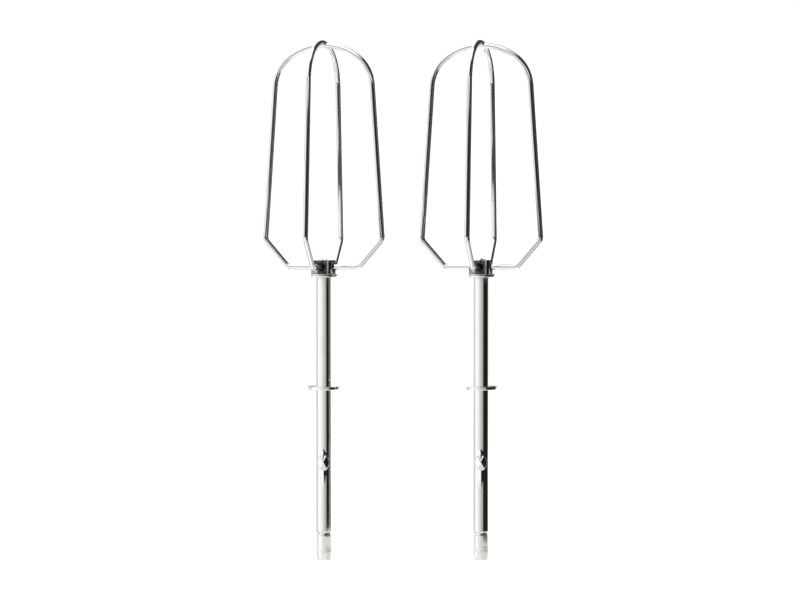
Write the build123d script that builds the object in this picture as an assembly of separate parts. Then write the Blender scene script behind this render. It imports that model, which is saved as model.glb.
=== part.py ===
from build123d import *

import math
import os

# A pair of wire beaters for a hand mixer, cages up and drive ends down.
# Millimetres, +Z up, origin midway between the two drive tips at their lowest point.
# Both beaters are alike, and each is six pieces: a drive shaft, a stop collar, a hub washer,
# a hub block, and two bent wire loops that cross at the top.

# Pair
BEATER_SPACING = 59.0     # between the two shaft axes
CAGE_TURN = -15.0         # degrees that each wide loop is turned about its shaft, away from +X

# Drive shaft
SHAFT_D = 6.0
SHAFT_LENGTH = 106.1      # from the tip to the shoulder under the hub washer
TIP_D = 5.7               # slim part of the drive tip
TIP_KNEE_D = 6.0          # widest ring of the drive tip
TIP_KNEE_Z = 2.9          # height of that ring
TIP_KNEE_FLARE = 1.7      # height over which the slim part widens to the ring
TIP_END_D = 5.1           # lower end of the bevel under the ring
TIP_ROUND = 0.35          # rounding between that bevel and the flat end
GROOVE_Z = 9.75           # lower side of the retaining groove's neck, above the tip
GROOVE_WIDTH = 0.3        # straight part of the neck
GROOVE_D = 4.9
GROOVE_LIP_BELOW = 0.9    # height of the rounded lip under the neck
GROOVE_LIP_ABOVE = 0.6    # height of the rounded lip over the neck

# Pressed drive ears, front and back of the shaft
EAR_Z = 36.7              # centre of the ears above the tip
EAR_WIDTH = 4.65
EAR_HEIGHT = 6.0
EAR_RISE = 1.2            # crest of an ear above the shaft's surface
EAR_EDGE_RISE = 0.2       # upper and lower ends of the crest above the shaft's surface
EAR_SPREAD = 1.47         # how far the flanks would run to the side, in shaft radii
EAR_BULGE = 0.35          # crown of the flanks
KEEL_RISE = 0.45          # ridge above the shaft's surface where it leaves an ear
KEEL_BELOW = 8.0          # length of the run-out below an ear
KEEL_ABOVE = 2.4          # length of the run-out above an ear
KEEL_SPREAD = 32.0        # degrees from the crest to the foot of the ridge
KEEL_SINK = 0.03          # share of the shaft's radius that the foot lies under its surface
PINCH_NECK = 0.06         # how far pressing the ears draws in the shank's radius at their middle

# Stop collar
COLLAR_D = 12.4
COLLAR_THICKNESS = 1.25
COLLAR_Z = 63.9           # underside of the collar above the tip
COLLAR_EDGE = 0.3

# Hub, held by a riveted spigot on top of the shaft
SPIGOT_D = 3.0
HUB_WASHER_D = 10.5
HUB_WASHER_THICKNESS = 1.1
HUB_WASHER_EDGE = 0.25
HUB_WIDTH = 7.8
HUB_HEIGHT = 5.3
HUB_CORNER = 1.0          # bevel on the upright corners of the block
HUB_TOP_EDGE = 0.5        # rounding on the top edges of the block
SOCKET_WALL = 0.4         # metal between the spigot and the end of each wire
SOCKET_DISH_D = 3.9       # mouth of the dished socket that holds a wire
SOCKET_DISH_DEPTH = 0.8
RIVET_D = 4.4
RIVET_HEIGHT = 0.6

# Wire loops: sizes are to the centre line of the wire
WIRE_D = 2.1
ARM_REACH = 13.8          # shaft axis to the bend where the level arms turn up
CORNER_REACH = 22.8       # shaft axis to the widest corner
CORNER_RISE = 10.2        # arms to the widest corner
SHOULDER_REACH = 19.0     # shaft axis to the side of the arch
CAGE_RISE = 82.9          # arms to the top of the wide loop
CROSSING_LIFT = 1.0       # the cross loop's top above the wide loop's
BEND_R = 3.0
SHOULDER_R = 14.6
CROWN_R = 22.5

# Places that follow from the sizes above
SHAFT_R = SHAFT_D / 2
WIRE_R = WIRE_D / 2
HUB_Z = SHAFT_LENGTH + HUB_WASHER_THICKNESS
ARM_Z = HUB_Z + HUB_HEIGHT / 2
WIRE_END = SPIGOT_D / 2 + SOCKET_WALL
QUARTER_TURNS = (0, 90, 180, 270)


def turned_shaft():
    """The shaft as turned: knobbed tip, rounded groove, shank, spigot and rivet head."""
    hub_top = HUB_Z + HUB_HEIGHT
    rivet_top = hub_top + RIVET_HEIGHT
    neck_top = GROOVE_Z + GROOVE_WIDTH
    tip_r = TIP_D / 2
    neck_r = GROOVE_D / 2
    end_r = TIP_END_D / 2
    outline = [
        Line((0, 0), (end_r - TIP_ROUND, 0)),
        TangentArc((end_r - TIP_ROUND, 0), (end_r, TIP_ROUND), tangent=(1, 0)),
        Polyline(
            (end_r, TIP_ROUND),
            (TIP_KNEE_D / 2, TIP_KNEE_Z),
            (tip_r, TIP_KNEE_Z + TIP_KNEE_FLARE),
            (tip_r, GROOVE_Z - GROOVE_LIP_BELOW),
        ),
        TangentArc((tip_r, GROOVE_Z - GROOVE_LIP_BELOW), (neck_r, GROOVE_Z), tangent=(0, 1)),
        Line((neck_r, GROOVE_Z), (neck_r, neck_top)),
        TangentArc((SHAFT_R, neck_top + GROOVE_LIP_ABOVE), (neck_r, neck_top), tangent=(0, -1)),
        Polyline(
            (SHAFT_R, neck_top + GROOVE_LIP_ABOVE),
            (SHAFT_R, EAR_Z - EAR_HEIGHT / 2 - KEEL_BELOW),
            (SHAFT_R - PINCH_NECK, EAR_Z),
            (SHAFT_R, EAR_Z + EAR_HEIGHT / 2 + KEEL_ABOVE),
            (SHAFT_R, SHAFT_LENGTH),
            (SPIGOT_D / 2, SHAFT_LENGTH),
            (SPIGOT_D / 2, hub_top),
            (RIVET_D / 2, hub_top),
        ),
        TangentArc((0, rivet_top), (RIVET_D / 2, hub_top), tangent=(1, 0)),
        Line((0, rivet_top), (0, 0)),
    ]
    return revolve(Plane.XZ * make_face(outline), axis=Axis.Z)


def ears():
    """Both ears: oval from the front, with an upright crest and a level one across it."""
    crest = SHAFT_R + EAR_RISE
    side = SHAFT_R * EAR_SPREAD
    corners = [(side, 0), (0, crest), (-side, 0), (0, -crest)]
    flanks = make_face([SagittaArc(start, end, -EAR_BULGE)
                        for start, end in zip(corners, corners[1:] + corners[:1])])
    slope_top = EAR_HEIGHT / 2 * crest / (EAR_RISE - EAR_EDGE_RISE)
    slopes = Polygon((crest, 0), (0, slope_top), (-crest, 0), (0, -slope_top), align=None)
    outline = Ellipse(EAR_WIDTH / 2, EAR_HEIGHT / 2)
    ear = (extrude(Plane.XZ * outline, 2 * crest, both=True)
           & extrude(flanks, EAR_HEIGHT, both=True)
           & extrude(Plane.YZ * slopes, EAR_WIDTH, both=True))
    return Pos(0, 0, EAR_Z) * ear


def keel(length):
    """A roof-shaped ridge on both faces of the shaft, from an ear's middle to nothing."""
    foot_r = SHAFT_R * (1 - KEEL_SINK)
    foot_x = foot_r * math.sin(math.radians(KEEL_SPREAD))
    foot_y = foot_r * math.cos(math.radians(KEEL_SPREAD))
    reach = EAR_HEIGHT / 2 + abs(length)
    start_rise = KEEL_RISE * reach / abs(length)
    sections = []
    for z, rise in ((0, start_rise), (math.copysign(reach, length), 0)):
        top = SHAFT_R + rise
        ring = ((0, top), (foot_x, foot_y), (foot_x, -foot_y),
                (0, -top), (-foot_x, -foot_y), (-foot_x, foot_y))
        sections.append(Pos(0, 0, EAR_Z + z) * Polygon(*ring, align=None))
    return loft(sections, ruled=True)


def drive_shaft():
    """Shaft with its ears and the ridges that run out above and below them."""
    return turned_shaft() + ears() + keel(-KEEL_BELOW) + keel(KEEL_ABOVE)


def ring_plate(diameter, bore, thickness, edge):
    """Flat round washer with rounded outer edges, standing on z = 0."""
    plate = Pos(0, 0, thickness / 2) * Cylinder(diameter / 2, thickness)
    rims = plate.edges().filter_by(GeomType.CIRCLE)
    plate = fillet(rims, edge)
    return plate - Pos(0, 0, thickness / 2) * Cylinder(bore / 2, 2 * thickness)


def stop_collar():
    """Round stop pressed on the shaft."""
    return Pos(0, 0, COLLAR_Z) * ring_plate(COLLAR_D, SHAFT_D, COLLAR_THICKNESS, COLLAR_EDGE)


def hub_washer():
    """Flange washer clamped between the shaft's shoulder and the hub block."""
    washer = ring_plate(HUB_WASHER_D, SPIGOT_D, HUB_WASHER_THICKNESS, HUB_WASHER_EDGE)
    return Pos(0, 0, SHAFT_LENGTH) * washer


def wire_socket():
    """Space of one wire end in the block, along +X, with its dished mouth."""
    depth = HUB_WIDTH / 2 - WIRE_END
    hole = Pos(WIRE_END + depth / 2, 0, 0) * Rot(0, 90, 0) * Cylinder(WIRE_R, depth)
    dish = Cone(WIRE_R, SOCKET_DISH_D / 2, SOCKET_DISH_DEPTH)
    return hole + Pos((HUB_WIDTH - SOCKET_DISH_DEPTH) / 2, 0, 0) * Rot(0, 90, 0) * dish


def hub_block():
    """Square block with four side sockets, turned with the cage."""
    block = Box(HUB_WIDTH, HUB_WIDTH, HUB_HEIGHT)
    block = chamfer(block.edges().filter_by(Axis.Z), HUB_CORNER)
    block = fillet(block.faces().sort_by(Axis.Z)[-1].edges(), HUB_TOP_EDGE)
    block -= Cylinder(SPIGOT_D / 2, 2 * HUB_HEIGHT)
    for turn in QUARTER_TURNS:
        block -= Rot(0, 0, turn) * wire_socket()
    return Pos(0, 0, ARM_Z) * Rot(0, 0, CAGE_TURN) * block


def loop_path(crown_z):
    """Centre line of one loop in the XZ plane, from one hub socket round to the other."""
    inset = CROWN_R - SHOULDER_R
    shoulder_x = SHOULDER_REACH - SHOULDER_R
    spread = math.asin(shoulder_x / inset)
    shoulder_z = crown_z - CROWN_R + inset * math.cos(spread)
    corner_z = ARM_Z + CORNER_RISE
    span = math.hypot(CORNER_REACH - shoulder_x, shoulder_z - corner_z)
    aim = math.atan2(shoulder_z - corner_z, shoulder_x - CORNER_REACH)
    lean = aim - math.asin(SHOULDER_R / span)
    side_length = math.sqrt(span ** 2 - SHOULDER_R ** 2)
    side_top = (CORNER_REACH + side_length * math.cos(lean), 0,
                corner_z + side_length * math.sin(lean))
    join = (CROWN_R * math.sin(spread), 0, crown_z - CROWN_R * (1 - math.cos(spread)))
    middle = (lean - spread) / 2
    shoulder_mid = (shoulder_x + SHOULDER_R * math.cos(middle), 0,
                    shoulder_z + SHOULDER_R * math.sin(middle))
    side = FilletPolyline((WIRE_END, 0, ARM_Z), (ARM_REACH, 0, ARM_Z),
                          (CORNER_REACH, 0, corner_z), side_top, radius=BEND_R)
    shoulder = ThreePointArc(side_top, shoulder_mid, join)
    crown = ThreePointArc(join, (0, 0, crown_z), (-join[0], 0, join[2]))
    half = [*side.edges(), *shoulder.edges()]
    other_half = [copy for edge in half for copy in mirror(edge, about=Plane.YZ).edges()]
    return Wire([*half, *crown.edges(), *other_half])


def wire_loop(crown_z, turn):
    """Round wire bent to a loop and turned about the shaft."""
    section = Plane(origin=(WIRE_END, 0, ARM_Z), z_dir=(1, 0, 0)) * Circle(WIRE_R)
    return Rot(0, 0, turn) * sweep(section, path=loop_path(crown_z))


def beater():
    """The six pieces of one beater, about the Z axis."""
    crown_z = ARM_Z + CAGE_RISE
    wide_loop = wire_loop(crown_z, CAGE_TURN)
    cross_loop = wire_loop(crown_z + CROSSING_LIFT, CAGE_TURN + 90)
    return {
        "drive_shaft": drive_shaft(),
        "stop_collar": stop_collar(),
        "hub_washer": hub_washer(),
        "hub_block": hub_block(),
        "wide_loop": wide_loop,
        "cross_loop": cross_loop - wide_loop,
    }


os.makedirs("parts", exist_ok=True)
pieces = beater()
for side, x in (("left", -BEATER_SPACING / 2), ("right", BEATER_SPACING / 2)):
    for name, piece in pieces.items():
        export_step(Pos(x, 0, 0) * piece, f"parts/{side}_{name}.step")
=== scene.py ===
"""A pair of polished wire beaters for a hand mixer, modelled around their CAD frame.

Every piece is shaped about the Z axis at its real height, moved on to the left beater's axis and
copied to the right one. Lengths are metres.
"""

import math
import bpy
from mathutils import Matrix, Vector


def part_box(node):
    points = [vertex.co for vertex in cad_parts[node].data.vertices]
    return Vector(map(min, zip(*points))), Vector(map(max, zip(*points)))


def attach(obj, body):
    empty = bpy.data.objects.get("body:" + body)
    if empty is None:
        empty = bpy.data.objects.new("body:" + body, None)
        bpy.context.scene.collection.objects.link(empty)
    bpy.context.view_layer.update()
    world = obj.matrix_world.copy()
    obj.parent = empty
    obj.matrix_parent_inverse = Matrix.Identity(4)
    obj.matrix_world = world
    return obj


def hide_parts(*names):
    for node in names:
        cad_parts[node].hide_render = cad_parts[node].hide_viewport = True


bl_info = {
    "name": "Hand Mixer Beaters",
    "version": (1, 0, 0),
    "blender": (4, 5, 0),
    "location": "3D Viewport > Sidebar > Beaters",
    "description": "Models a pair of wire beaters, their finishes and a plain studio",
    "category": "Add Mesh",
}

import bmesh
import bpy
from mathutils import Matrix, Vector

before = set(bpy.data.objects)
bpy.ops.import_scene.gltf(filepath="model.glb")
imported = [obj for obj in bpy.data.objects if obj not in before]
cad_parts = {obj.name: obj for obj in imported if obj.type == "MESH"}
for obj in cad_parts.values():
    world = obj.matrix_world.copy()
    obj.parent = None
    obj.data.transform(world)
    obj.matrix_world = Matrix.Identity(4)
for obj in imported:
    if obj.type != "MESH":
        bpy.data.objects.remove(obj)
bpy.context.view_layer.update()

MM = 0.001
SUPPORT = 0.15 * MM     # gap to an extra ring that keeps the long face beyond it straight
EAR_ROW = 0.16 * MM     # height of one row of points where the ears are pressed
BEND_STEP = 3.5         # degrees between the rings of a bent wire
KEEL_FOOT = 0.97        # foot of an ear's ridge, as a share of the shank's radius
WHITE = 1.16            # strength of the studio's white, over 1 so that it shows as pure white
BLACK = 0.015           # strength of the black card

# Painted parts of the studio's drum: spans of height in millimetres, and of azimuth in degrees
# from the front towards +X
TABLE_HEIGHT = (-190, 103)
TABLE_EDGE = (-38, -35)
TENT_AZIMUTH = (-60, 150)
CLOTH_AZIMUTH = (-48, 150)
NEAR_AZIMUTH = (-48, 35)
CARD_AZIMUTH = (36, 128)
SHELF_HEIGHT = (102, 126)
SHELF_AZIMUTH = (-76, 8)
HAZE_HEIGHT = (124, 290)
HAZE_AZIMUTH = (-50, -18)
WINDOW_HEIGHT = (232, 290)
WINDOW_AZIMUTH = (-30, 13)
DEEP_HEIGHT = (-560, -185)
DEEP_RIGHT = (48, 140)
DEEP_LEFT = (-150, -75)
SIDE_HEIGHT = (-140, 300)
SIDE_LEFT = (-128, -86)
SEAM_AZIMUTH = (166, 173)

SHAFT_LOW, SHAFT_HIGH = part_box("left_drive_shaft")
COLLAR_LOW, COLLAR_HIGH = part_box("left_stop_collar")
WASHER_LOW, WASHER_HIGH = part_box("left_hub_washer")
HUB_LOW, HUB_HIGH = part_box("left_hub_block")
WIDE_LOW, WIDE_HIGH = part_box("left_wide_loop")
_, CROSS_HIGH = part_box("left_cross_loop")
RIGHT_LOW, RIGHT_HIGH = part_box("right_drive_shaft")

# Places that the frame gives: both axes, the stack of heights, and the sizes of round pieces
LEFT_X = (SHAFT_LOW.x + SHAFT_HIGH.x) / 2
RIGHT_X = (RIGHT_LOW.x + RIGHT_HIGH.x) / 2
SHAFT_R = (SHAFT_HIGH.x - SHAFT_LOW.x) / 2
EAR_CREST = SHAFT_HIGH.y
COLLAR_R = (COLLAR_HIGH.y - COLLAR_LOW.y) / 2
WASHER_R = (WASHER_HIGH.y - WASHER_LOW.y) / 2
ARM_Z = (HUB_LOW.z + HUB_HIGH.z) / 2
WIRE_R = ARM_Z - WIDE_LOW.z
WIDE_CROWN_Z = WIDE_HIGH.z - WIRE_R
CROSS_CROWN_Z = CROSS_HIGH.z - WIRE_R
SIDES = {"left": LEFT_X, "right": RIGHT_X}


def length(name, description, millimetres):
    """A length property, given in millimetres and kept in metres."""
    return bpy.props.FloatProperty(name=name, description=description, default=millimetres * MM,
                                   min=0, unit="LENGTH", precision=5)


def angle(name, description, degrees):
    """An angle property, given in degrees and kept in radians."""
    return bpy.props.FloatProperty(name=name, description=description,
                                   default=math.radians(degrees), unit="ROTATION")


def share(name, description, value):
    """A plain number from 0 to 1."""
    return bpy.props.FloatProperty(name=name, description=description, default=value,
                                   min=0, max=1, subtype="FACTOR")


def colour(name, description, value):
    """A colour property."""
    return bpy.props.FloatVectorProperty(name=name, description=description, default=value,
                                         size=3, min=0, max=1, subtype="COLOR")


class ShaftSettings(bpy.types.PropertyGroup):
    """Sizes of the drive shaft that its box doesn't give."""
    tip_radius: length("Tip radius", "Slim part of the drive tip", 2.85)
    knee_radius: length("Knee radius", "Widest ring of the drive tip", 3.0)
    knee_z: length("Knee height", "Height of the widest ring", 2.9)
    knee_flare: length("Knee flare", "Height over which the tip widens to its ring", 1.7)
    end_radius: length("End radius", "Lower end of the tip's bevel", 2.55)
    tip_round: length("Tip rounding", "Rounding at the flat end", 0.35)
    groove_z: length("Groove height", "Lower side of the groove's neck", 9.75)
    groove_width: length("Groove width", "Straight part of the neck", 0.3)
    groove_radius: length("Groove radius", "Neck left in the groove", 2.45)
    lip_below: length("Lower lip", "Height of the rounded lip under the neck", 0.9)
    lip_above: length("Upper lip", "Height of the rounded lip over the neck", 0.6)
    ear_z: length("Ear height", "Middle of the pressed ears", 36.7)
    ear_width: length("Ear width", "Width of an ear seen from the front", 4.65)
    ear_height: length("Ear length", "Height of an ear seen from the front", 6.0)
    ear_edge: length("Ear edge", "Ends of an ear's crest above the shank", 0.2)
    ear_bulge: length("Ear bulge", "Crown of an ear's flanks", 0.35)
    ear_spread: length("Ear spread", "Where the flanks would meet the shaft's middle plane", 4.41)
    keel_rise: length("Keel rise", "Ridge above the shank where it leaves an ear", 0.45)
    keel_below: length("Keel below", "Run-out of the ridge below an ear", 8.0)
    keel_above: length("Keel above", "Run-out of the ridge above an ear", 2.4)
    keel_spread: angle("Keel spread", "From the crest to the foot of the ridge", 32)
    pinch_neck: length("Pinch neck", "How far the pressing draws the shank in", 0.06)
    spigot_radius: length("Spigot radius", "Pin through the hub", 1.5)
    rivet_radius: length("Rivet radius", "Peened head on the hub", 2.2)


class PlateSettings(bpy.types.PropertyGroup):
    """Edges of the two stamped round plates."""
    collar_edge: length("Collar edge", "Rounding of the stop collar", 0.3)
    washer_edge: length("Washer edge", "Rounding of the hub washer", 0.25)


class HubSettings(bpy.types.PropertyGroup):
    """The square block that holds the wires."""
    width: length("Width", "Across the flats", 7.8)
    corner: length("Corner bevel", "Bevel of the upright corners", 1.0)
    top_edge: length("Top edge", "Rounding of the top edges", 0.5)
    dish_radius: length("Dish radius", "Mouth of a wire's socket", 1.95)
    dish_depth: length("Dish depth", "Depth of that mouth", 0.8)
    stake_radius: length("Stake radius", "Ball of the punch that stakes each wire", 0.55)


class CageSettings(bpy.types.PropertyGroup):
    """Bends of the wire loops, to the centre of the wire."""
    turn: angle("Turn", "Turn of the wide loop about its shaft", -15)
    wire_end: length("Wire end", "From the axis to a wire's end in the hub", 1.9)
    arm_reach: length("Arm reach", "From the axis to the bend of the level arms", 13.8)
    corner_reach: length("Corner reach", "From the axis to the widest corner", 22.8)
    corner_rise: length("Corner rise", "From the arms to the widest corner", 10.2)
    shoulder_reach: length("Shoulder reach", "From the axis to the side of the arch", 19.0)
    bend_radius: length("Bend radius", "Small bends", 3.0)
    shoulder_radius: length("Shoulder radius", "Sides of the arch", 14.6)
    crown_radius: length("Crown radius", "Top of the arch", 22.5)


class FinishSettings(bpy.types.PropertyGroup):
    """Colours and polish of the metals."""
    bright: colour("Bright steel", "Polished wire, plates and shaft", (0.90, 0.90, 0.89))
    hub: colour("Hub metal", "Dark satin block", (0.085, 0.084, 0.08))
    # Colour of the highlights painted on the hub block's bevels, top edge and beside its sockets
    painted_highlight: colour("Painted highlight", "Rubbed edges of the block", (0.72, 0.72, 0.70))
    polish: share("Polish", "Roughness of bright metal", 0.03)
    tip_polish: share("Tip polish", "Roughness of the drive tip", 0.06)
    rubbed: share("Rubbed ring", "Extra roughness of the ring on the drive tip", 0.4)
    frost: share("Frost", "How much of the drive tip is dull, not mirror-like", 0.15)


class StudioSettings(bpy.types.PropertyGroup):
    """Camera and surroundings."""
    distance: length("Camera distance", "From the beaters to the lens", 850)
    eye_height: length("Eye height", "Height of the lens", 119.6)
    aim_height: length("Aim height", "Height of the picture's middle", 97.5)
    aside: length("Aside", "How far left of the middle the lens stands", 0.8)
    picture_width: length("Picture width", "Width that the picture takes in", 300)
    floor_size: length("Floor size", "Side of the pale floor", 8000)
    drum_radius: length("Drum radius", "Round wall that the metal mirrors", 350)
    drum_height: length("Drum height", "Height of that wall", 2400)


GROUPS = {
    "beater_shaft": ShaftSettings,
    "beater_plates": PlateSettings,
    "beater_hub": HubSettings,
    "beater_cage": CageSettings,
    "beater_finish": FinishSettings,
    "beater_studio": StudioSettings,
}


# Modelling helpers


def start(add, name, **settings):
    """Add a primitive with nothing else selected."""
    bpy.ops.object.select_all(action="DESELECT")
    add(**settings)
    piece = bpy.context.object
    piece.name = name
    return piece


def select_edges(piece, wanted):
    """In edit mode, select only the edges for which wanted(edge) is true."""
    bpy.ops.mesh.select_mode(type="EDGE")
    bpy.ops.mesh.select_all(action="DESELECT")
    mesh = bmesh.from_edit_mesh(piece.data)
    for edge in mesh.edges:
        edge.select_set(bool(wanted(edge)))
    bmesh.update_edit_mesh(piece.data)


def close_up(weld=True):
    """Merge doubled points, turn every face outwards and leave edit mode."""
    bpy.ops.mesh.select_all(action="SELECT")
    if weld:
        bpy.ops.mesh.remove_doubles(threshold=0.001 * MM)
    bpy.ops.mesh.normals_make_consistent(inside=False)
    bpy.ops.object.mode_set(mode="OBJECT")


def lathe(name, rings, segments):
    """Round piece raised ring by ring, with its ends filled unless the profile is closed."""
    radius, height = rings[0]
    piece = start(bpy.ops.mesh.primitive_circle_add, name, vertices=segments, radius=radius,
                  location=(0, 0, height))
    bpy.ops.object.transform_apply(location=True)
    bpy.ops.object.mode_set(mode="EDIT")
    bpy.ops.mesh.select_all(action="SELECT")
    hollow = rings[0] == rings[-1]
    if not hollow:
        bpy.ops.mesh.edge_face_add()
    for next_radius, next_height in rings[1:]:
        bpy.ops.mesh.extrude_region_move(
            TRANSFORM_OT_translate={"value": (0, 0, next_height - height)})
        grow = next_radius / radius
        bpy.ops.transform.resize(value=(grow, grow, 1), center_override=(0, 0, next_height))
        radius, height = next_radius, next_height
    close_up(weld=hollow)
    return piece


def rounded(centre, radius, start_angle, end_angle, steps):
    """Points of an arc in a profile of (radius, height), with angles in degrees from level."""
    points = []
    for step in range(steps + 1):
        at = math.radians(start_angle + (end_angle - start_angle) * step / steps)
        points.append((centre[0] + radius * math.cos(at), centre[1] + radius * math.sin(at)))
    return points


def lip(outer, neck, steps):
    """Arc that leaves the upright at outer and runs in to neck, both (radius, height)."""
    depth = outer[0] - neck[0]
    rise = neck[1] - outer[1]
    radius = (depth ** 2 + rise ** 2) / (2 * depth)
    sweep = math.degrees(math.asin(rise / radius))
    return rounded((outer[0] - radius, outer[1]), radius, 0, sweep, steps)


def apply_modifier(piece, kind, **settings):
    """Add one modifier, set it and apply it."""
    bpy.ops.object.select_all(action="DESELECT")
    piece.select_set(True)
    bpy.context.view_layer.objects.active = piece
    modifier = piece.modifiers.new(kind.title(), kind)
    for key, value in settings.items():
        setattr(modifier, key, value)
    bpy.ops.object.modifier_apply(modifier=modifier.name)


def carve(piece, cutter):
    """Cut one solid out of another and throw the cutter away."""
    apply_modifier(piece, "BOOLEAN", operation="DIFFERENCE", solver="EXACT", object=cutter)
    bpy.data.objects.remove(cutter)


def smooth(piece, degrees=32):
    """Smooth shading that keeps real edges, and leans each normal towards its larger faces."""
    bpy.ops.object.select_all(action="DESELECT")
    piece.select_set(True)
    bpy.context.view_layer.objects.active = piece
    bpy.ops.object.shade_smooth_by_angle(angle=math.radians(degrees))
    apply_modifier(piece, "WEIGHTED_NORMAL", mode="FACE_AREA", weight=100, keep_sharp=True)


def place_pair(piece, kind, material, node=None):
    """Put a piece made about the Z axis on both beaters, each with a mesh of its own."""
    twin = piece.copy()
    twin.data = piece.data.copy()
    bpy.context.collection.objects.link(twin)
    for side, each in (("left", piece), ("right", twin)):
        each.name = f"{side}_{kind}"
        each.data.name = each.name
        each.data.transform(Matrix.Translation((SIDES[side], 0, 0)))
        each.data.materials.clear()
        each.data.materials.append(material)
        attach(each, f"{side}_beater")
        if node:
            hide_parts(f"{side}_{node}")


# Shader helpers


class Wire:
    """A node's output, on which Python's arithmetic adds Math nodes."""

    def __init__(self, graph, socket):
        self.graph = graph
        self.socket = socket

    def maths(self, operation, *values):
        return self.graph.add("ShaderNodeMath", {"operation": operation}, dict(enumerate(values)))

    def __add__(self, other):
        return self.maths("ADD", self, other)

    def __sub__(self, other):
        return self.maths("SUBTRACT", self, other)

    def __rsub__(self, other):
        return self.maths("SUBTRACT", other, self)

    def __mul__(self, other):
        return self.maths("MULTIPLY", self, other)

    __radd__ = __add__
    __rmul__ = __mul__

    def __abs__(self):
        return self.maths("ABSOLUTE", self)

    def ramp(self, low, high, start=0.0, end=1.0, soft=True):
        """Start below low, end above high, and a smooth or a straight change between."""
        return self.graph.add(
            "ShaderNodeMapRange", {"interpolation_type": "SMOOTHSTEP" if soft else "LINEAR"},
            {"Value": self, "From Min": low, "From Max": high, "To Min": start, "To Max": end})

    def between(self, low, high, edge_low, edge_high):
        """A mask that is 1 from low to high, with a soft edge at each end."""
        rise = self.ramp(low - edge_low, low + edge_low)
        return rise * self.ramp(high - edge_high, high + edge_high, 1.0, 0.0)


class Graph:
    """The node tree of a material or a world."""

    def __init__(self, owner):
        owner.use_nodes = True
        self.tree = owner.node_tree
        self.tree.nodes.clear()

    def add(self, kind, settings=None, inputs=None, output=0):
        """Any node: its settings first, then the values or links of its sockets."""
        node = self.tree.nodes.new(kind)
        for key, value in (settings or {}).items():
            setattr(node, key, value)
        for key, value in (inputs or {}).items():
            if isinstance(value, Wire):
                self.tree.links.new(value.socket, node.inputs[key])
            else:
                node.inputs[key].default_value = value
        return Wire(self, node.outputs[output]) if node.outputs else node

    def parts(self, vector):
        """The X, Y and Z of a vector."""
        return [self.add("ShaderNodeSeparateXYZ", inputs={"Vector": vector}, output=axis)
                for axis in "XYZ"]

    def place(self):
        """Object coordinates, in metres from the frame's origin."""
        return self.add("ShaderNodeTexCoord", output="Object")

    def grain(self, scale, detail=3.0, stretch=(1, 1, 1), roughness=0.5):
        """Noise of so many grains a metre, drawn out where stretch is under 1."""
        spots = self.add("ShaderNodeMapping", inputs={"Vector": self.place(), "Scale": stretch})
        return self.add("ShaderNodeTexNoise", inputs={
            "Vector": spots, "Scale": scale, "Detail": detail, "Roughness": roughness})

    def blend(self, amount, first, second):
        """Colour that goes from first to second."""
        return self.add("ShaderNodeMix", {"data_type": "RGBA"},
                        {"Factor": amount, "A": first, "B": second}, output="Result")

    def bump(self, heights):
        """Bumps laid over each other: (height, depth in metres) pairs."""
        normal = None
        for height, depth in heights:
            inputs = {"Height": height, "Strength": 1.0, "Distance": depth}
            if normal:
                inputs["Normal"] = normal
            normal = self.add("ShaderNodeBump", inputs=inputs)
        return normal

    def metal(self, base, roughness, normal, metallic=1.0):
        """The finished metal surface."""
        surface = self.add("ShaderNodeBsdfPrincipled", inputs={
            "Base Color": base, "Metallic": metallic, "Roughness": roughness, "Normal": normal})
        self.add("ShaderNodeOutputMaterial", inputs={"Surface": surface})


def rgba(value, share_of=1.0):
    """A colour with alpha, darkened by a share."""
    return (*(channel * share_of for channel in value), 1.0)


def new_graph(name):
    """A new material and its graph."""
    material = bpy.data.materials.new(name)
    return material, Graph(material)


def polished_wire(finish):
    """Bright drawn wire: faint ripple, hairline rubs and a few duller patches."""
    material, graph = new_graph("polished_wire")
    ripple = graph.grain(420, detail=2.0)
    hairs = graph.grain(2600, detail=4.0, stretch=(1, 1, 0.08))
    patches = graph.grain(90, detail=4.0).ramp(0.48, 0.72)
    base = graph.blend(patches * 0.5, rgba(finish.bright), rgba(finish.bright, 0.88))
    roughness = finish.polish + patches * 0.05 + hairs * 0.02
    normal = graph.bump(((ripple, 0.0015 * MM), (hairs, 0.0002 * MM)))
    graph.metal(base, roughness, normal)
    return material


def polished_shaft(finish, shaft):
    """Bright ground rod: fine lengthwise lines, a slow ripple, and a rubbed ring on the drive tip."""
    material, graph = new_graph("polished_shaft")
    height = graph.parts(graph.place())[2]
    tip = height.ramp(shaft.groove_z - shaft.lip_below, shaft.groove_z, 1.0, 0.0)
    slow = graph.grain(260, detail=3.0, stretch=(1, 1, 0.5))
    lines = graph.grain(3200, detail=3.0, stretch=(1, 1, 0.05))
    cloud = graph.grain(700, detail=5.0, stretch=(1, 1, 0.45))
    rubs = graph.grain(130, detail=5.0).ramp(0.5, 0.75)
    ring_top = shaft.knee_z + shaft.knee_flare + 0.1 * MM
    ring = height.between(shaft.knee_z - 0.1 * MM, ring_top, 0.3 * MM, 0.3 * MM)
    base = graph.blend(cloud * 0.35 + rubs * 0.3, rgba(finish.bright), rgba(finish.bright, 0.86))
    shank = finish.polish + cloud * 0.03 + rubs * 0.04
    roughness = shank * (1.0 - tip) + tip * (finish.tip_polish + (cloud - 0.5) * 0.04)
    roughness = roughness + ring * finish.rubbed
    normal = graph.bump(((slow, 0.005 * MM), (cloud, 0.0006 * MM), (lines, 0.0003 * MM)))
    graph.metal(base, roughness, normal, 1.0 - tip * finish.frost - ring * finish.frost)
    return material


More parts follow.
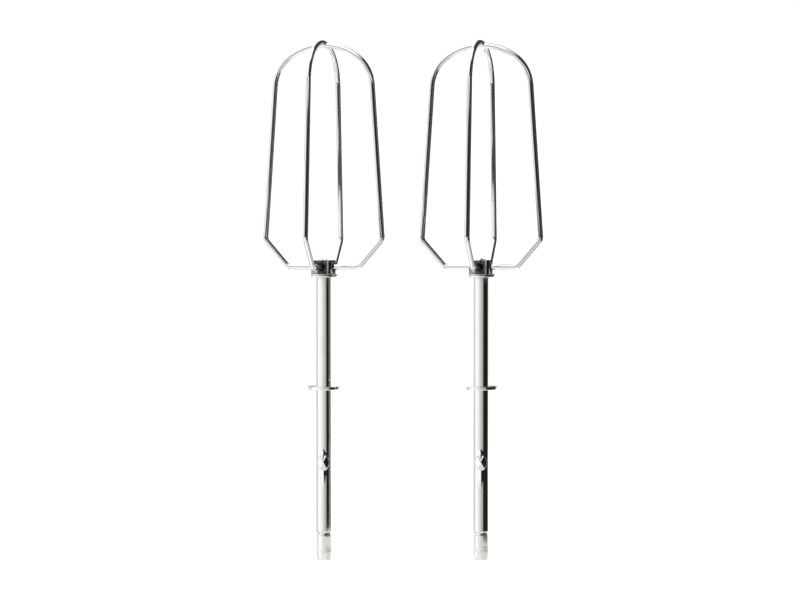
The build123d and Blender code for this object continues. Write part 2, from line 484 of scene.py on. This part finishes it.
def stamped_plate(finish):
    """Bright stamped steel: rolled grain across the face and small handling dents."""
    material, graph = new_graph("stamped_plate")
    rolled = graph.grain(1500, detail=3.0, stretch=(0.12, 1, 1))
    dents = graph.grain(600, detail=2.0)
    base = graph.blend(dents.ramp(0.5, 0.75) * 0.6, rgba(finish.bright), rgba(finish.bright, 0.84))
    roughness = finish.polish + 0.03 + rolled * 0.08
    normal = graph.bump(((dents, 0.008 * MM), (rolled, 0.0006 * MM)))
    graph.metal(base, roughness, normal)
    return material


def hub_metal(finish, hub, cage):
    """Dark satin metal, with painted highlights at some corners, the top and low beside each socket.
    """
    material, graph = new_graph("hub_metal")
    x, y, z = graph.parts(graph.place())
    # Place on each block's own axes, which turn with its cage
    across = x - x.maths("SIGN", x) * RIGHT_X
    turned_x = across * math.cos(cage.turn) + y * math.sin(cage.turn)
    turned_y = y * math.cos(cage.turn) - across * math.sin(cage.turn)

    # Painted highlights on the bevels, on the side where a face's right half meets them: lean is
    # under 0 on the left half of each face, seen from outside, and over 0 on its right half
    corner = abs(turned_x) + abs(turned_y)
    reach = hub.width - hub.corner
    rim = corner.ramp(reach - 0.35 * MM, reach + 0.1 * MM)
    lean = (abs(turned_x) - abs(turned_y)) * x.maths("SIGN", turned_x * turned_y)
    rim = rim * lean.ramp(0.55 * MM, 0.85 * MM)

    # Painted highlight low on each face's left half, and a painted highlight along the top edge
    socket_highlight = lean.between(-2.7 * MM, -0.2 * MM, 0.3 * MM, 0.3 * MM)
    socket_highlight = socket_highlight * z.ramp(ARM_Z - 1.3 * MM, ARM_Z - 0.5 * MM, 1.0, 0.0)
    top = z.ramp(HUB_HIGH.z - 0.45 * MM, HUB_HIGH.z - 0.05 * MM)

    speckle = graph.grain(2200, detail=4.0)
    patches = graph.grain(500, detail=3.0)
    # Painted highlights, broken up by random patches; the metal is also made glossier there
    painted_highlight = (rim * 0.85 + top * 0.55 + socket_highlight * 0.8) * patches.ramp(0.3, 0.6, 0.5, 1.0)
    base = graph.blend(painted_highlight.maths("MINIMUM", painted_highlight, 1.0), rgba(finish.hub), rgba(finish.painted_highlight))
    roughness = 0.34 - painted_highlight * 0.18 + (speckle - 0.5) * 0.16
    normal = graph.bump(((patches, 0.01 * MM), (speckle, 0.0025 * MM)))
    graph.metal(base, roughness, normal)
    return material


def weld_metal(finish):
    """Pressed weld: bright, slightly rippled and a little duller than the wire."""
    material, graph = new_graph("weld_metal")
    ripple = graph.grain(1800, detail=3.0)
    base = graph.blend(ripple * 0.5, rgba(finish.bright, 0.95), rgba(finish.bright, 0.7))
    graph.metal(base, 0.16 + ripple * 0.14, graph.bump(((ripple, 0.012 * MM),)))
    return material


# Drive shafts


def shaft_rings(shaft):
    """Profile of the shaft from the flat tip to the rivet head, as (radius, height) rings."""
    neck_low = shaft.groove_z
    neck_high = shaft.groove_z + shaft.groove_width
    lip_low = neck_low - shaft.lip_below
    lip_high = neck_high + shaft.lip_above
    pinch_low = shaft.ear_z - shaft.ear_height / 2 - shaft.keel_below
    pinch_high = shaft.ear_z + shaft.ear_height / 2 + shaft.keel_above
    flare_top = shaft.knee_z + shaft.knee_flare
    soften = 0.25 * MM
    run_in = 0.3 * MM
    rings = [(0.3 * shaft.end_radius, 0), (0.7 * shaft.end_radius, 0)]
    rings += rounded((shaft.end_radius - shaft.tip_round, shaft.tip_round), shaft.tip_round,
                     -90, -5, 6)
    rings += [(shaft.knee_radius - 0.04 * MM, shaft.knee_z - soften),
              (shaft.knee_radius, shaft.knee_z),
              (shaft.knee_radius - 0.03 * MM, shaft.knee_z + soften),
              (shaft.tip_radius + 0.02 * MM, flare_top - run_in),
              (shaft.tip_radius, flare_top + run_in),
              (shaft.tip_radius, flare_top + run_in + SUPPORT),
              (shaft.tip_radius, lip_low - SUPPORT)]
    rings += lip((shaft.tip_radius, lip_low), (shaft.groove_radius, neck_low), 6)
    upper = lip((SHAFT_R, -lip_high), (shaft.groove_radius, -neck_high), 8)
    rings += [(radius, -height) for radius, height in reversed(upper)]
    rings += [(SHAFT_R, lip_high + SUPPORT), (SHAFT_R, pinch_low - SUPPORT)]
    rows = round((pinch_high - pinch_low) / EAR_ROW)
    for row in range(rows + 1):
        height = pinch_low + (pinch_high - pinch_low) * row / rows
        away = height - shaft.ear_z
        span = pinch_high - shaft.ear_z if away > 0 else shaft.ear_z - pinch_low
        rings.append((SHAFT_R - shaft.pinch_neck * (1 - abs(away) / span), height))
    rings += [(SHAFT_R, pinch_high + SUPPORT), (SHAFT_R, COLLAR_LOW.z), (SHAFT_R, COLLAR_HIGH.z)]
    edge = 0.12 * MM
    rings += [(SHAFT_R, WASHER_LOW.z - edge - SUPPORT)]
    rings += rounded((SHAFT_R - edge, WASHER_LOW.z - edge), edge, 0, 90, 4)
    rings += [(shaft.spigot_radius, WASHER_LOW.z), (shaft.spigot_radius, HUB_HIGH.z)]
    rise = SHAFT_HIGH.z - HUB_HIGH.z
    dome = (shaft.rivet_radius ** 2 + rise ** 2) / (2 * rise)
    foot = math.degrees(math.acos(shaft.rivet_radius / dome))
    rings += rounded((0, SHAFT_HIGH.z - dome), dome, foot, 88, 7)
    return rings


def ear_radius(shaft, across, height, radius):
    """Radius of the pressed ear at an angle from the crest and a height from its middle."""
    sine, cosine = math.sin(across), math.cos(across)
    flank = EAR_CREST / (cosine + EAR_CREST / shaft.ear_spread * sine)
    along = flank * sine / shaft.ear_spread
    flank += 4 * shaft.ear_bulge * along * (1 - along)
    fall = (EAR_CREST - SHAFT_R - shaft.ear_edge) / (shaft.ear_height / 2)
    least_cosine = 0.05
    slope = (EAR_CREST - fall * abs(height)) / max(cosine, least_cosine)
    reach = min(flank, slope)
    oval = math.hypot(reach * sine / (shaft.ear_width / 2), height / (shaft.ear_height / 2))
    rim_outside, rim_softness = 1.03, 0.08
    inside = min(max((rim_outside - oval) / rim_softness, 0), 1)
    inside = inside * inside * (3 - 2 * inside)
    return radius + inside * max(reach - radius, 0)


def keel_radius(shaft, across, height):
    """Radius of the roof-shaped ridge that runs out above and below an ear."""
    run_out = shaft.keel_above if height > 0 else shaft.keel_below
    reach = shaft.ear_height / 2 + run_out
    if abs(height) >= reach or across >= shaft.keel_spread:
        return 0
    top = SHAFT_R + shaft.keel_rise * reach / run_out * (1 - abs(height) / reach)
    foot = KEEL_FOOT * SHAFT_R
    foot_x, foot_y = foot * math.sin(shaft.keel_spread), foot * math.cos(shaft.keel_spread)
    return foot_x * top / ((top - foot_y) * math.sin(across) + foot_x * math.cos(across))


def press_ears(piece, shaft):
    """Move the points of the ear stretch outwards to the pressed shape, front and back alike."""
    for vertex in piece.data.vertices:
        x, y, z = vertex.co
        height = z - shaft.ear_z
        radius = math.hypot(x, y)
        if -shaft.keel_below - shaft.ear_height < height < shaft.keel_above + shaft.ear_height:
            across = math.atan2(abs(x), abs(y))
            wanted = max(radius, keel_radius(shaft, across, height))
            if abs(height) < shaft.ear_height / 2:
                wanted = max(wanted, ear_radius(shaft, across, height, radius))
            vertex.co.x *= wanted / radius
            vertex.co.y *= wanted / radius


class BEATERS_OT_drive_shafts(bpy.types.Operator):
    """Model both drive shafts with their grooved tips, pressed ears and rivet heads"""
    bl_idname = "beaters.drive_shafts"
    bl_label = "Drive Shafts"

    def execute(self, context):
        shaft = context.scene.beater_shaft
        piece = lathe("shaft", shaft_rings(shaft), segments=160)
        press_ears(piece, shaft)
        smooth(piece, 75)
        material = polished_shaft(context.scene.beater_finish, shaft)
        place_pair(piece, "shaft", material, "drive_shaft")
        return {"FINISHED"}


# Round plates


def plate_rings(bore, radius, low, high, edge):
    """Closed profile of a washer with both outer edges rounded and the bore's top edge bevelled."""
    bevel = 0.08 * MM
    middle = (bore + radius) / 2
    rings = [(bore, low), (middle, low)]
    rings += rounded((radius - edge, low + edge), edge, -90, 0, 6)
    rings += rounded((radius - edge, high - edge), edge, 0, 90, 6)
    rings += [(middle, high), (bore + bevel, high), (bore, high - bevel), (bore, low)]
    return rings


class BEATERS_OT_stop_collars(bpy.types.Operator):
    """Model both stop collars"""
    bl_idname = "beaters.stop_collars"
    bl_label = "Stop Collars"

    def execute(self, context):
        edge = context.scene.beater_plates.collar_edge
        rings = plate_rings(SHAFT_R, COLLAR_R, COLLAR_LOW.z, COLLAR_HIGH.z, edge)
        piece = lathe("collar", rings, segments=128)
        smooth(piece)
        material = stamped_plate(context.scene.beater_finish)
        place_pair(piece, "collar", material, "stop_collar")
        return {"FINISHED"}


class BEATERS_OT_hub_washers(bpy.types.Operator):
    """Model both flange washers under the hubs"""
    bl_idname = "beaters.hub_washers"
    bl_label = "Hub Washers"

    def execute(self, context):
        edge = context.scene.beater_plates.washer_edge
        bore = context.scene.beater_shaft.spigot_radius
        rings = plate_rings(bore, WASHER_R, WASHER_LOW.z, WASHER_HIGH.z, edge)
        piece = lathe("washer", rings, segments=112)
        smooth(piece)
        material = stamped_plate(context.scene.beater_finish)
        place_pair(piece, "washer", material, "hub_washer")
        return {"FINISHED"}


# Hub blocks


def hub_body(hub):
    """Square block with bevelled corners and a rounded top."""
    height = HUB_HIGH.z - HUB_LOW.z
    piece = start(bpy.ops.mesh.primitive_cube_add, "hub", size=1, location=(0, 0, ARM_Z))
    piece.scale = (hub.width, hub.width, height)
    bpy.ops.object.transform_apply(location=True, scale=True)
    bpy.ops.object.mode_set(mode="EDIT")
    select_edges(piece, lambda edge: abs(edge.verts[0].co.z - edge.verts[1].co.z) > height / 2)
    bpy.ops.mesh.bevel(offset=hub.corner, offset_type="OFFSET", segments=3, profile=0.35)
    select_edges(piece, lambda edge: all(v.co.z > HUB_HIGH.z - 0.01 * MM for v in edge.verts))
    bpy.ops.mesh.bevel(offset=hub.top_edge, offset_type="OFFSET", segments=4)
    close_up()
    return piece


def socket_cutter(hub, cage, turn):
    """Dished mouth and blind hole for one wire."""
    depth = hub.width / 2 - cage.wire_end
    cutter = start(bpy.ops.mesh.primitive_circle_add, "socket", vertices=40, radius=WIRE_R,
                   fill_type="NGON", rotation=(0, math.pi / 2, 0),
                   location=(cage.wire_end, 0, ARM_Z))
    bpy.ops.object.transform_apply(location=True, rotation=True)
    bpy.ops.object.mode_set(mode="EDIT")
    bpy.ops.mesh.select_all(action="SELECT")
    mouth = hub.dish_radius / WIRE_R
    flare = 0.55 + 0.45 * mouth
    past_face = 1 * MM
    for step, grow in ((depth - hub.dish_depth, 1), (hub.dish_depth * 0.6, flare),
                       (hub.dish_depth * 0.4, mouth / flare), (past_face, 1)):
        bpy.ops.mesh.extrude_region_move(TRANSFORM_OT_translate={"value": (step, 0, 0)})
        bpy.ops.transform.resize(value=(1, grow, grow))
    close_up(weld=False)
    cutter.data.transform(Matrix.Rotation(turn, 4, "Z"))
    return cutter


def stake_cutter(hub, turn):
    """Ball of the punch that closes the block's rim over a wire."""
    inset, drop = 0.25 * MM, 0.35 * MM
    at = Vector((hub.width / 2 - inset, hub.dish_radius * 0.45, HUB_HIGH.z - drop))
    cutter = start(bpy.ops.mesh.primitive_uv_sphere_add, "stake", segments=20, ring_count=12,
                   radius=hub.stake_radius, location=at)
    bpy.ops.object.transform_apply(location=True)
    cutter.data.transform(Matrix.Rotation(turn, 4, "Z"))
    return cutter


class BEATERS_OT_hub_blocks(bpy.types.Operator):
    """Model both hub blocks with their dished and staked wire sockets"""
    bl_idname = "beaters.hub_blocks"
    bl_label = "Hub Blocks"

    def execute(self, context):
        scene = context.scene
        hub, cage = scene.beater_hub, scene.beater_cage
        piece = hub_body(hub)
        for quarter in range(4):
            turn = quarter * math.pi / 2
            carve(piece, socket_cutter(hub, cage, turn))
            carve(piece, stake_cutter(hub, turn))
        apply_modifier(piece, "BEVEL", width=0.07 * MM, segments=2, limit_method="ANGLE",
                       angle_limit=math.radians(28))
        piece.data.transform(Matrix.Rotation(cage.turn, 4, "Z"))
        smooth(piece, 40)
        place_pair(piece, "hub", hub_metal(scene.beater_finish, hub, cage),
                   "hub_block")
        return {"FINISHED"}


# Wire loops


def loop_moves(cage, crown_z):
    """Straight runs and bends of one loop, from hub to hub: (length, 0) or (radius, sweep)."""
    rise = cage.corner_rise
    inset = cage.crown_radius - cage.shoulder_radius
    shoulder_x = cage.shoulder_reach - cage.shoulder_radius
    spread = math.asin(shoulder_x / inset)
    shoulder_z = crown_z - cage.crown_radius + inset * math.cos(spread) - ARM_Z
    span = math.hypot(cage.corner_reach - shoulder_x, shoulder_z - rise)
    aim = math.atan2(shoulder_z - rise, shoulder_x - cage.corner_reach)
    lean = aim - math.asin(cage.shoulder_radius / span)
    side = math.sqrt(span ** 2 - cage.shoulder_radius ** 2)
    climb = math.atan2(rise, cage.corner_reach - cage.arm_reach)
    slant = math.hypot(rise, cage.corner_reach - cage.arm_reach)
    first_cut = cage.bend_radius * math.tan(climb / 2)
    second_cut = cage.bend_radius * math.tan((lean - climb) / 2)
    half = [(cage.arm_reach - cage.wire_end - first_cut, 0), (cage.bend_radius, climb),
            (slant - first_cut - second_cut, 0), (cage.bend_radius, lean - climb),
            (side - second_cut, 0), (cage.shoulder_radius, math.pi - spread - lean)]
    return half + [(cage.crown_radius, 2 * spread)] + half[::-1]


def bend_wire(name, cage, crown_z, turn):
    """Round wire drawn out from the hub, bent in one plane and brought back to the hub."""
    piece = start(bpy.ops.mesh.primitive_circle_add, name, vertices=28, radius=WIRE_R,
                  fill_type="NGON", rotation=(0, math.pi / 2, 0),
                  location=(cage.wire_end, 0, ARM_Z))
    bpy.ops.object.transform_apply(location=True, rotation=True)
    bpy.ops.object.mode_set(mode="EDIT")
    bpy.ops.mesh.select_all(action="SELECT")
    at = Vector((cage.wire_end, 0, ARM_Z))
    heading = 0.0
    for size, sweep in loop_moves(cage, crown_z):
        ahead = Vector((math.cos(heading), 0, math.sin(heading)))
        if sweep:
            centre = at + size * Vector((-ahead.z, 0, ahead.x))
            steps = max(6, round(math.degrees(sweep) / BEND_STEP))
            bpy.ops.mesh.spin(steps=steps, angle=sweep, center=centre, axis=(0, 1, 0))
            heading += sweep
            at = centre + size * Vector((math.sin(heading), 0, -math.cos(heading)))
        else:
            bpy.ops.mesh.extrude_region_move(TRANSFORM_OT_translate={"value": size * ahead})
            at = at + size * ahead
    close_up(weld=False)
    piece.data.transform(Matrix.Rotation(turn, 4, "Z"))
    smooth(piece, 50)
    return piece


class BEATERS_OT_wire_loops(bpy.types.Operator):
    """Bend the wide loop and the cross loop of both cages"""
    bl_idname = "beaters.wire_loops"
    bl_label = "Wire Loops"

    def execute(self, context):
        cage = context.scene.beater_cage
        material = polished_wire(context.scene.beater_finish)
        wide = bend_wire("wide_wire", cage, WIDE_CROWN_Z, cage.turn)
        place_pair(wide, "wide_wire", material, "wide_loop")
        cross = bend_wire("cross_wire", cage, CROSS_CROWN_Z, cage.turn + math.pi / 2)
        place_pair(cross, "cross_wire", material, "cross_loop")
        return {"FINISHED"}


class BEATERS_OT_crossing_welds(bpy.types.Operator):
    """Model the pressed weld where each pair of loops crosses"""
    bl_idname = "beaters.crossing_welds"
    bl_label = "Crossing Welds"

    def execute(self, context):
        cage = context.scene.beater_cage
        middle = (WIDE_CROWN_Z + CROSS_CROWN_Z) / 2
        piece = start(bpy.ops.mesh.primitive_cube_add, "weld", size=2 * WIRE_R,
                      location=(0, 0, middle))
        bpy.ops.object.transform_apply(location=True)
        bpy.ops.object.mode_set(mode="EDIT")
        bpy.ops.mesh.select_all(action="SELECT")
        bpy.ops.mesh.subdivide(number_cuts=2, smoothness=0.6)
        spread, flat = 1.12, 0.62
        bpy.ops.transform.resize(value=(spread, spread, flat), center_override=(0, 0, middle))
        close_up()
        apply_modifier(piece, "SUBSURF", levels=3, render_levels=3)
        piece.data.transform(Matrix.Rotation(cage.turn, 4, "Z"))
        smooth(piece, 60)
        place_pair(piece, "crossing_weld", weld_metal(context.scene.beater_finish))
        return {"FINISHED"}


# Studio


def white_world():
    """Plain white all round. Sampling it as a light would speckle the metal."""
    world = bpy.data.worlds.new("studio")
    bpy.context.scene.world = world
    world.cycles.sampling_method = "NONE"
    graph = Graph(world)
    glow = graph.add("ShaderNodeBackground", inputs={"Color": (1, 1, 1, 1), "Strength": WHITE})
    graph.add("ShaderNodeOutputWorld", inputs={"Surface": glow})


def painted_drum(studio):
    """Round wall of the studio, which only the metal sees: a white tent with a pale table in front,
    a black card at the right and the dark room over them."""
    drum = start(bpy.ops.mesh.primitive_cylinder_add, "studio_drum", vertices=144,
                 radius=studio.drum_radius, depth=studio.drum_height, end_fill_type="NOTHING",
                 location=(0, 0, studio.drum_height / 4))
    bpy.ops.object.transform_apply(location=True)
    smooth(drum)
    material, graph = new_graph("studio_drum")
    x, y, z = graph.parts(graph.place())
    azimuth = x.maths("ARCTAN2", x, 0.0 - y) * math.degrees(1)
    height = z * 1000.0

    def shade(under, mask, value):
        """Paint a value over what is there, as far as the mask goes."""
        return under + mask * (value - under)

    # Tent low at the front, then the table, its near part, and the black card at its right
    low = height.between(*TABLE_HEIGHT, 20, 3)
    table = low * height.ramp(*TABLE_EDGE)
    light = shade(WHITE, low * azimuth.between(*TENT_AZIMUTH, 8, 10),
                  azimuth.ramp(-55, 0, 1.1, 0.68, soft=False))
    light = shade(light, table * azimuth.between(*CLOTH_AZIMUTH, 6, 20), WHITE)
    light = shade(light, table * azimuth.between(*NEAR_AZIMUTH, 6, 3),
                  azimuth.ramp(-42, 30, 1.08, 0.41, soft=False))
    light = shade(light, table * azimuth.between(*CARD_AZIMUTH, 3, 20), BLACK)

    # Dark shelf over the table's left part, and a grey haze over that
    shelf = height.between(*SHELF_HEIGHT, 3, 6) * azimuth.between(*SHELF_AZIMUTH, 6, 4)
    light = shade(light, shelf, 0.05)
    haze = height.between(*HAZE_HEIGHT, 8, 30) * azimuth.between(*HAZE_AZIMUTH, 7, 4)
    light = shade(light, haze, 0.38)

    # Dark room, whose top rises to the right and whose left edge leans, with one small window
    top = azimuth.ramp(-12, 8, 225, 760) + azimuth.ramp(60, 100, 0, 220)
    window = height.between(*WINDOW_HEIGHT, 8, 8) * azimuth.between(*WINDOW_AZIMUTH, 6, 4)
    left = height.ramp(105, 160, 6, -24)
    room = height.ramp(100, 106) * (top - height).ramp(-25, 25)
    room = room * (azimuth - left).ramp(-4, 4) * azimuth.ramp(171, 178, 1.0, 0.0)
    light = shade(light, room * (1.0 - window), azimuth.ramp(15, 60, BLACK, 0.06))

    # Greyer parts far below the table
    deep = height.between(*DEEP_HEIGHT, 30, 30)
    light = shade(light, deep, 0.82)
    light = shade(light, deep * azimuth.between(*DEEP_RIGHT, 10, 12), 0.45)
    light = shade(light, deep * azimuth.between(*DEEP_LEFT, 8, 12), 0.55)

    # Grey cloth at the left, and the tent's dark seams at the back, which outline round pieces
    side = height.between(*SIDE_HEIGHT, 20, 30)
    light = shade(light, side * azimuth.between(*SIDE_LEFT, 6, 8), 0.72)
    light = shade(light, side * abs(azimuth).between(*SEAM_AZIMUTH, 2, 2), 0.2)

    # Darker tones are a little warm
    tint = graph.blend(light.ramp(0.2, 1.0, 1.0, 0.0), (1, 1, 1, 1), (1, 0.98, 0.86, 1))
    shown = graph.add("ShaderNodeVectorMath", {"operation": "SCALE"},
                      {"Vector": tint, "Scale": light})
    glow = graph.add("ShaderNodeEmission", inputs={"Color": shown, "Strength": 1.0})
    graph.add("ShaderNodeOutputMaterial", inputs={"Surface": glow})
    material.cycles.emission_sampling = "NONE"
    drum.data.materials.append(material)
    for kind in ("camera", "diffuse", "transmission", "volume_scatter", "shadow"):
        setattr(drum, f"visible_{kind}", False)


def pale_floor(size):
    """Plain pale floor at the tips. The metal doesn't mirror it, but the drum's painted table."""
    floor = start(bpy.ops.mesh.primitive_plane_add, "floor", size=size)
    material, graph = new_graph("pale_floor")
    cloth = graph.grain(40, detail=2.0)
    surface = graph.add("ShaderNodeBsdfPrincipled", inputs={
        "Base Color": graph.blend(cloth, (0.95, 0.95, 0.95, 1), (0.93, 0.93, 0.93, 1)),
        "Roughness": 0.9, "Specular IOR Level": 0.0})
    graph.add("ShaderNodeOutputMaterial", inputs={"Surface": surface})
    floor.data.materials.append(material)
    floor.visible_glossy = False


def soft_box(name, at, size, energy):
    """Large square lamp aimed between the hubs. The metal doesn't mirror it."""
    lamp = bpy.data.lights.new(name, "AREA")
    lamp.size = size
    lamp.energy = energy
    holder = bpy.data.objects.new(name, lamp)
    holder.location = at
    aim = Vector((0, 0, ARM_Z)) - Vector(at)
    holder.rotation_euler = aim.to_track_quat("-Z", "Y").to_euler()
    holder.visible_glossy = False
    bpy.context.collection.objects.link(holder)


def set_camera(studio):
    """Long lens a little above the hubs, aimed a little lower."""
    camera = bpy.data.cameras.new("camera")
    camera.sensor_width = 36
    camera.lens = camera.sensor_width * studio.distance / studio.picture_width
    camera.clip_start = 0.01
    holder = bpy.data.objects.new("camera", camera)
    holder.location = (-studio.aside, -studio.distance, studio.eye_height)
    aim = Vector((-studio.aside, 0, studio.aim_height)) - holder.location
    holder.rotation_euler = aim.to_track_quat("-Z", "Y").to_euler()
    bpy.context.collection.objects.link(holder)
    bpy.context.scene.camera = holder


class BEATERS_OT_studio(bpy.types.Operator):
    """Add the pale floor, the soft light, the surroundings and the camera"""
    bl_idname = "beaters.studio"
    bl_label = "Studio"

    def execute(self, context):
        studio = context.scene.beater_studio
        context.scene.view_settings.view_transform = "Standard"
        white_world()
        painted_drum(studio)
        pale_floor(studio.floor_size)
        soft_box("overhead_box", at=(0, -0.2, 1.6), size=1.6, energy=9)
        set_camera(studio)
        return {"FINISHED"}


class BEATERS_PT_panel(bpy.types.Panel):
    """The beaters' pieces and their sizes"""
    bl_idname = "BEATERS_PT_panel"
    bl_label = "Hand Mixer Beaters"
    bl_space_type = "VIEW_3D"
    bl_region_type = "UI"
    bl_category = "Beaters"

    def draw(self, context):
        for operator in OPERATORS:
            self.layout.operator(operator.bl_idname)
        for name, group in GROUPS.items():
            box = self.layout.box()
            box.label(text=group.__doc__)
            for key in group.__annotations__:
                box.prop(getattr(context.scene, name), key)


OPERATORS = (
    BEATERS_OT_drive_shafts,
    BEATERS_OT_stop_collars,
    BEATERS_OT_hub_washers,
    BEATERS_OT_hub_blocks,
    BEATERS_OT_wire_loops,
    BEATERS_OT_crossing_welds,
    BEATERS_OT_studio,
)


def register():
    """Register every class and hang the settings on the scene."""
    for group in (*GROUPS.values(), *OPERATORS, BEATERS_PT_panel):
        bpy.utils.register_class(group)
    for name, group in GROUPS.items():
        setattr(bpy.types.Scene, name, bpy.props.PointerProperty(type=group))


def unregister():
    """Take the settings and classes away again."""
    for name in GROUPS:
        delattr(bpy.types.Scene, name)
    for group in (BEATERS_PT_panel, *reversed(OPERATORS), *reversed(list(GROUPS.values()))):
        bpy.utils.unregister_class(group)


def main():
    """Build everything in order."""
    register()
    for operator in OPERATORS:
        area, action = operator.bl_idname.split(".")
        getattr(getattr(bpy.ops, area), action)()


if __name__ == "__main__":
    main()
